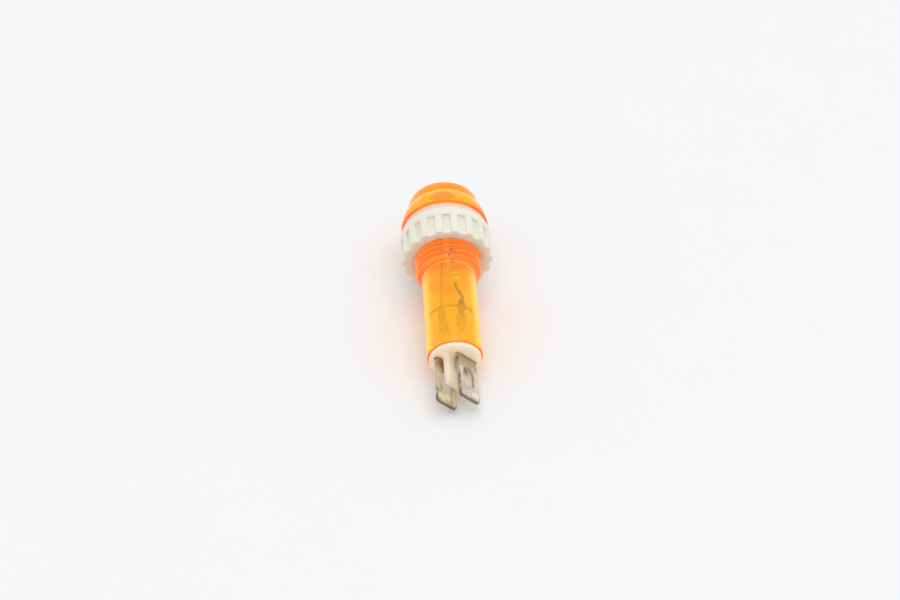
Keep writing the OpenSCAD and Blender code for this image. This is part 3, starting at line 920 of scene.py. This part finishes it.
def lug_piece(side):
    """The neck, the twisted lug and the tongue inside the tube, as one bent strip."""
    stations = [
        (FLOOR_TOP - 0.3, TONGUE_W, 0), (FLOOR_TOP + 0.6, TONGUE_W, 0), (FLOOR_TOP + 1.8, TONGUE_W, 0.08),
        (LUG_FOOT - 0.9, TONGUE_W, 0.4), (LUG_FOOT - 0.4, TONGUE_W, 0.8), (LUG_FOOT - 0.12, TONGUE_W, 0.97),
        (LUG_FOOT - 0.02, TONGUE_W + 0.1, 1), (LUG_FOOT, LUG_W - 0.12, 1), (LUG_FOOT + 0.06, LUG_W, 1),
        (LUG_FOOT + 1.0, LUG_W, 1), (LUG_TOP - 0.06, LUG_W, 1), (LUG_TOP, LUG_W - 0.12, 1),
        (LUG_TOP + 0.02, TONGUE_W + 0.1, 1), (LUG_TOP + 0.12, TONGUE_W, 1), (TONGUE_TOP - 0.5, TONGUE_W, 1),
        (TONGUE_TOP - 0.08, TONGUE_W, 1), (TONGUE_TOP, TONGUE_W - 0.14, 1),
    ]
    loops, wear = [], []
    for z, width, share in stations:
        a = -math.radians(LUG_TWIST) * share
        for x, y in rounded_box(width, METAL_T, 0.07, steps=3):
            u, v = x * math.cos(a) - y * math.sin(a), x * math.sin(a) + y * math.cos(a)
            loops.append(on_side((TAB_SHIFT - LUG_SHIFT + u, v - TAB_OFFSET, z), side))
            wear.append(blend((abs(x) / (width / 2) - 0.55) / 0.4))
    n = len(loops) // len(stations)
    points, faces = skin([loops[i * n:(i + 1) * n] for i in range(len(stations))])
    return points, faces, wear


def tarnished(name, clean, dull, side, dark, root, inner, seed):
    """Plated brass that has gone dull, with dark edges and stains."""
    paint = Paint(name, Metallic=0.2)
    cloud = paint.noise(0.75, detail=5, rough=0.62, shift=(seed, 0, 0))
    fine = paint.noise(5, detail=5, rough=0.65, shift=(0, seed, 0))
    streaks = paint.noise(3, detail=3, stretch=(1, 1, 0.18), shift=(0, 0, seed))
    wear = paint.attribute("edge_wear")
    x, y, z = paint.axes()
    stain = cloud.step(0.50, 0.64) * fine.step(0.3, 0.65)
    near_root = (1 - (PLUG_FACE - z).step(0.6, 3.2)) * (0.45 + fine * 0.75)
    grime_and_painted_shade = paint.noise(1.6, detail=5, rough=0.7, shift=(seed, seed, 0)).step(0.52, 0.66) * 0.5
    # The lug's upper end and the tongue are painted near black.
    inside, near_black_top = z.step(FLOOR_TOP - 0.4, FLOOR_TOP + 1.0), z.step(LUG_TOP - 1.2, LUG_TOP)
    face = paint.mix(cloud.step(0.3, 0.7), clean, dull)
    face = paint.mix(streaks.step(0.5, 0.75) * 0.45, face, dull)
    face = paint.mix((stain * 0.45).maths("MAXIMUM", grime_and_painted_shade), face, dark)
    face = paint.mix(near_root, face, root)
    face = paint.mix(near_black_top, paint.mix(inside, face, inner), (0.03, 0.02, 0.01))
    edge = (wear ** 1.5) * (0.45 + fine * 0.8)
    at_tip = 1 - z.step(PLUG_FACE - TAB_LEN + 0.5, PLUG_FACE - TAB_LEN + 1.8)
    rim = paint.mix(at_tip.maths("MAXIMUM", cloud.step(0.5, 0.65)), side, dark)
    paint.set(
        Base_Color=paint.mix(edge.maths("MINIMUM", 1.0), face, rim),
        Roughness=0.34 + fine * 0.22 + stain * 0.15,
    )
    paint.bump(fine * 0.6 + streaks * 0.4, 0.45, 0.03)
    return paint


brassy = tarnished(
    "tarnished_brass_plating", (0.99, 0.88, 0.63), (0.80, 0.64, 0.34), (0.58, 0.49, 0.41), (0.09, 0.06, 0.03),
    (0.42, 0.18, 0.02), (0.60, 0.38, 0.12), 3.0,
)
greyed = tarnished(
    "stained_grey_plating", (0.97, 0.88, 0.72), (0.78, 0.66, 0.50), (0.46, 0.38, 0.27), (0.15, 0.10, 0.05),
    (0.36, 0.27, 0.15), (0.95, 0.80, 0.36), 8.0,
)
for side, (name, paint) in enumerate((("terminal_right", greyed), ("terminal_left", brassy))):
    tab_points, tab_faces, tab_wear = tab_piece(side)
    lug_points, lug_faces, lug_wear = lug_piece(side)
    shift = len(tab_points)
    terminal = build(
        name + "_stamping", tab_points + lug_points,
        tab_faces + [tuple(i + shift for i in face) for face in lug_faces],
        paint, crease=35, marks={"edge_wear": tab_wear + lug_wear},
    )
    seat(terminal, "root", "tarnished_brass", name)


# ---------------------------------------------------------------------------
# Neon bulb: a small sealed glass with a round top and a pinched foot, and two
# dull nickel electrodes standing side by side in it. It fills the lens's bore.
# ---------------------------------------------------------------------------
BULB_R = 2.5
BULB_TOP = BORE_RISE + BORE_R - 0.3
BULB_LEN = 8.6
BULB_FOOT = BULB_TOP - BULB_LEN
GLASS_T = 0.4
PINCH_TOP = BULB_FOOT + 1.8
ELECTRODE_GAP = 1.4
ELECTRODE_R = 0.35
ELECTRODE_LEN = 4.2
WIRE_R = 0.2


def bulb_outline():
    """The glass outside from its top down to the foot, and back up inside the space."""
    outside = arc(0, BULB_TOP - BULB_R, BULB_R, 90, 0, 18)
    outside[0] = (0, BULB_TOP)
    wall = line((BULB_R, BULB_TOP - BULB_R - 0.3), (BULB_R, BULB_FOOT + 0.3), 8)
    foot = arc(BULB_R - 0.3, BULB_FOOT + 0.3, 0.3, 0, -90, 5) + [(1.0, BULB_FOOT), (0, BULB_FOOT)]
    return outside + wall + foot


def bulb_space():
    inner = BULB_R - GLASS_T
    low = [(0, PINCH_TOP), (1.2, PINCH_TOP + 0.05)] + arc(inner - 0.5, PINCH_TOP + 0.6, 0.5, -80, 0, 5)
    top = arc(0, BULB_TOP - BULB_R, inner, 0, 90, 16)
    top[-1] = (0, BULB_TOP - GLASS_T)
    return low + line((inner, PINCH_TOP + 0.8), (inner, BULB_TOP - BULB_R - 0.1), 6) + top


def smooth_path(points, per=8):
    """A smooth curve through the points, as a list of vectors."""
    p = [Vector(q) for q in points]
    p = [p[0] * 2 - p[1]] + p + [p[-1] * 2 - p[-2]]
    path = []
    for i in range(1, len(p) - 2):
        a, b, c, d = p[i - 1:i + 3]
        for k in range(per):
            t = k / per
            path.append(0.5 * (2 * b + (c - a) * t + (2 * a - 5 * b + 4 * c - d) * t * t
                               + (3 * b - a - 3 * c + d) * t ** 3))
    return path + [p[-2]]


def sweep(path, radius, sides=16):
    """A round rod along a path. radius is a number or a function of the share of its length."""
    at = radius if callable(radius) else lambda share: radius
    loops, lean = [], Vector((1, 0, 0))
    last = len(path) - 1
    for i, middle in enumerate(path):
        way = (path[min(i + 1, last)] - path[max(i - 1, 0)]).normalized()
        lean = (lean - way * lean.dot(way)).normalized()
        other = way.cross(lean)
        ends = [(0.0, 0.35), (0.25, 0.8)] if i == 0 else [(0.0, 1.0)]
        if i == last:
            ends = [(-0.25, 0.8), (0.0, 0.35)]
        for along, share in ends:
            r = at(i / last)
            loops.append([
                tuple(middle + way * (along * r) + (lean * math.cos(TAU * k / sides)
                      + other * math.sin(TAU * k / sides)) * r * share)
                for k in range(sides)
            ])
    return skin(loops)


glass = Paint("bulb_glass", IOR=1.5, Transmission_Weight=1.0)
smear = glass.noise(1.1, detail=3)
glass.set(Base_Color=glass.mix(smear, (0.97, 0.98, 0.98), (0.90, 0.91, 0.90)), Roughness=0.02 + smear * 0.05)
glass.bump(smear, 0.15, 0.02)

nickel = Paint("dull_nickel", Metallic=1.0)
soot = nickel.noise(1.6, detail=4)
nickel.set(Base_Color=nickel.mix(soot, (0.34, 0.32, 0.30), (0.16, 0.15, 0.15)), Roughness=0.4 + soot * 0.25)
nickel.bump(nickel.noise(8, detail=3), 0.4, 0.02)

shell_points, shell_faces = revolve(bulb_outline(), 64)
space_points, space_faces = revolve(bulb_space(), 64)
shift = len(shell_points)
bulb = bpy.data.meshes.new("neon_bulb_glass")
bulb.from_pydata(
    [[c * MM for c in p] for p in shell_points + space_points], [],
    [tuple(f) for f in shell_faces] + [tuple(i + shift for i in f) for f in space_faces],
)
bulb.transform(LAMP)
seat(finish(bulb, "neon_bulb_glass", glass, 40), "root", "clear_glass", "bulb_glass")
for side, name in ((-1, "electrode_left"), (1, "electrode_right")):
    x = side * ELECTRODE_GAP / 2
    rod = [Vector((x, 0, PINCH_TOP + ELECTRODE_LEN * i / 12)) for i in range(13)]
    piece = build(name + "_rod", *sweep(rod, lambda share: ELECTRODE_R * (1 - 0.06 * share)), nickel)
    seat(piece, "root", "electrode_metal", name)


# ---------------------------------------------------------------------------
# Wires, resistor and solder: the bulb's left wire runs straight to the left
# terminal's tongue. The right one is soldered to a small lacquered resistor
# with colour bands, its end caps under the same lacquer, whose lower wire goes
# to the right tongue. The joints are lumpy beads of dull solder with burnt flux.
# ---------------------------------------------------------------------------
RESISTOR = (0.9, -0.75)
RESISTOR_TOP = -7.5
RESISTOR_LEN = 3.5
RESISTOR_FOOT = RESISTOR_TOP - RESISTOR_LEN
RESISTOR_R = 0.8
CAP_LEN = 0.7
CAP_T = 0.1
SPLICE = (RESISTOR[0], RESISTOR[1] + 2 * WIRE_R + 0.05)
SPLICE_TOP = BULB_FOOT - 1.0
SPLICE_LEN = 1.6
SPLICE_FOOT = SPLICE_TOP - SPLICE_LEN
SOLDER_R = 0.55
SOLDER_LEN = 1.2


def lead_place(side):
    """Where a wire lies along its terminal's tongue."""
    out = METAL_T / 2 + WIRE_R
    a = math.radians(-LUG_TWIST)
    x, y = TAB_SHIFT - LUG_SHIFT + out * math.sin(a), -TAB_OFFSET - out * math.cos(a)
    return on_side((x, y, 0), side)[:2]


def bead(place, foot, seed):
    """A lumpy bead of solder standing on a place."""
    lump = random.Random(seed)
    bumps = [(lump.uniform(0, TAU), lump.uniform(0.5, 2.2), lump.uniform(0.03, 0.09)) for _ in range(5)]
    length = SOLDER_LEN + 2 * SOLDER_R
    outline = []
    for i in range(17):
        a = math.pi * i / 16
        height = foot + length / 2 - SOLDER_R - length / 2 * math.cos(a)
        outline.append((SOLDER_R * math.sin(a) ** 0.7, height))
    outline[0], outline[-1] = (0, foot - SOLDER_R), (0, foot + SOLDER_LEN + SOLDER_R)

    def lumpy(r, z, a):
        swell = sum(size * math.sin(a * round(1 + k) + turn + k * z) for turn, k, size in bumps)
        return r * (1 + swell * 0.8), z

    points, faces = revolve(outline, 28, lumpy)
    return [(place[0] + x, place[1] + y, z) for x, y, z in points], faces


tinned = Paint("tinned_wire", Metallic=0.9)
oxide = tinned.noise(2.2, detail=4)
x, y, z = tinned.axes()
colour = tinned.mix(oxide, (0.16, 0.12, 0.08), (0.05, 0.04, 0.03))
colour = tinned.mix(1 - x.step(-0.6, 0.6), colour, (0.52, 0.48, 0.34))
tinned.set(Base_Color=colour, Roughness=0.38 + oxide * 0.3)
tinned.bump(tinned.noise(12, detail=3), 0.4, 0.015)

solder = Paint("burnt_solder", Metallic=0.7)
flux = solder.noise(2.4, detail=5)
solder.set(
    Base_Color=solder.mix(flux.step(0.35, 0.6), (0.16, 0.13, 0.10), (0.03, 0.02, 0.012)),
    Roughness=0.3 + flux * 0.4,
)
solder.bump(flux, 0.6, 0.06)

lacquer = Paint("resistor_lacquer", Coat_Weight=0.4, IOR=1.5)
x, y, z = lacquer.axes()
shade = lacquer.noise(3, detail=4)
colour = lacquer.mix(shade, (0.98, 0.86, 0.50), (0.92, 0.72, 0.38))
for k, band in enumerate(((0.30, 0.13, 0.03), (0.02, 0.02, 0.02), (0.75, 0.60, 0.05), (0.45, 0.30, 0.08))):
    middle = RESISTOR_TOP - 0.95 - 0.5 * k - (0.12 if k == 3 else 0)
    colour = lacquer.mix(1 - abs(z + shade * 0.06 - middle).step(0.11, 0.14), colour, band)
lacquer.set(Base_Color=colour, Roughness=0.3 + shade * 0.2)
lacquer.bump(shade, 0.3, 0.03)

left_place, right_place = lead_place(1), lead_place(0)
WIRES = (
    ("bulb_lead_left", [
        (-ELECTRODE_GAP / 2, 0, PINCH_TOP), (-ELECTRODE_GAP / 2, 0, BULB_FOOT - 0.8),
        (left_place[0] + 0.2, left_place[1] - 0.5, RESISTOR_FOOT + 1), (*left_place, TONGUE_TOP + 0.4),
        (*left_place, TONGUE_TOP - 1.2)]),
    ("bulb_lead_right", [
        (ELECTRODE_GAP / 2, 0, PINCH_TOP), (ELECTRODE_GAP / 2, 0, BULB_FOOT - 0.3), (*SPLICE, SPLICE_TOP),
        (*SPLICE, SPLICE_FOOT)]),
    ("resistor_lead_upper", [
        (*RESISTOR, RESISTOR_TOP), (*RESISTOR, (RESISTOR_TOP + SPLICE_TOP) / 2),
        (*RESISTOR, SPLICE_TOP - 0.2)]),
    ("resistor_lead_lower", [
        (*RESISTOR, RESISTOR_FOOT), (*RESISTOR, RESISTOR_FOOT - 0.8),
        (right_place[0] + 0.25, right_place[1], TONGUE_TOP + 1), (*right_place, TONGUE_TOP + 0.4),
        (*right_place, TONGUE_TOP - 1.2)]),
)
for name, points in WIRES:
    seat(build(name + "_wire", *sweep(smooth_path(points, 10), WIRE_R), tinned), "root", "wire_metal", name)


def resistor_outline():
    """The lacquered body, swollen at its ends where it covers the caps' edges."""
    slim, full = RESISTOR_R - CAP_T, RESISTOR_R
    low, high = RESISTOR_FOOT, RESISTOR_TOP
    lower = [(0, low + CAP_T), (slim - 0.05, low + CAP_T), (slim, low + CAP_T + 0.05), (slim, low + CAP_LEN)]
    low += CAP_LEN
    lower += [(full - 0.02, low + 0.02), (full, low + 0.2), (full - 0.04, low + 0.6)]
    return lower + [(r, RESISTOR_FOOT + high - z) for r, z in reversed(lower)]


def cap_outline(end, way):
    """A shallow cup over one end of the resistor, under the same lacquer."""
    slim = RESISTOR_R - CAP_T
    cup = [
        (0, 0), (RESISTOR_R - 0.12, 0), (RESISTOR_R - 0.03, 0.03), (RESISTOR_R, 0.12),
        (RESISTOR_R, CAP_LEN - 0.03), (RESISTOR_R - 0.03, CAP_LEN), (slim, CAP_LEN),
        (slim, CAP_T + 0.05), (slim - 0.05, CAP_T), (0, CAP_T),
    ]
    return [(r, end + way * z) for r, z in cup]


def at_resistor(points, faces):
    return [(x + RESISTOR[0], y + RESISTOR[1], z) for x, y, z in points], faces


seat(build("resistor_lacquered_body", *at_resistor(*revolve(resistor_outline(), 40)), lacquer),
     "root", "resistor_coating", "resistor_body")
for name, end, way in (("resistor_cap_upper", RESISTOR_TOP, -1), ("resistor_cap_lower", RESISTOR_FOOT, 1)):
    seat(build(name + "_cup", *at_resistor(*revolve(cap_outline(end, way), 40)), lacquer),
         "root", "electrode_metal", name)
for name, place, foot, seed in (
    ("solder_left", left_place, TONGUE_TOP - SOLDER_LEN, 5),
    ("solder_right", right_place, TONGUE_TOP - SOLDER_LEN, 9),
    ("solder_splice", SPLICE, (SPLICE_TOP + SPLICE_FOOT - SOLDER_LEN) / 2, 13),
):
    seat(build(name + "_bead", *bead(place, foot, seed), solder), "root", "solder_metal", name)


# ---------------------------------------------------------------------------
# Table and light: a smooth white table top and an even, soft light from all
# round, a little stronger from above.
# ---------------------------------------------------------------------------
TABLE_SIZE = 3.0
SKY_STRENGTH = 0.72
SOFTBOX_SIZE = 1.2
SOFTBOX_POWER = 5.2
SOFTBOX_PLACE = (0.15, -0.10, 1.2)

white = Paint("white_table", Roughness=0.85)
where = white.node("TexCoord", output=3)
weave = white.node("TexNoise", inputs={"Vector": where, "Scale": 90.0, "Detail": 3.0})
white.set(Base_Color=white.mix(weave, (0.955, 0.955, 0.965), (0.965, 0.965, 0.975)))

table = bpy.data.meshes.new("table_top")
half = TABLE_SIZE / 2
corners = [(-half, -half, 0), (half, -half, 0), (half, half, 0), (-half, half, 0)]
table.from_pydata(corners, [], [(0, 1, 2, 3)])
table.materials.append(white.material)
table_top = add("table_top", table)

world = bpy.data.worlds.new("white_room")
world.use_nodes = True
bpy.context.scene.world = world
sky = world.node_tree.nodes["Background"]
sky.inputs["Color"].default_value = (0.98, 0.985, 1.0, 1)
sky.inputs["Strength"].default_value = SKY_STRENGTH

light = bpy.data.lights.new("overhead_softbox", "AREA")
light.shape, light.size, light.energy = "SQUARE", SOFTBOX_SIZE, SOFTBOX_POWER
softbox = add("overhead_softbox", light)
softbox.location = SOFTBOX_PLACE
softbox.rotation_euler = (-softbox.location).to_track_quat("-Z", "Y").to_euler()
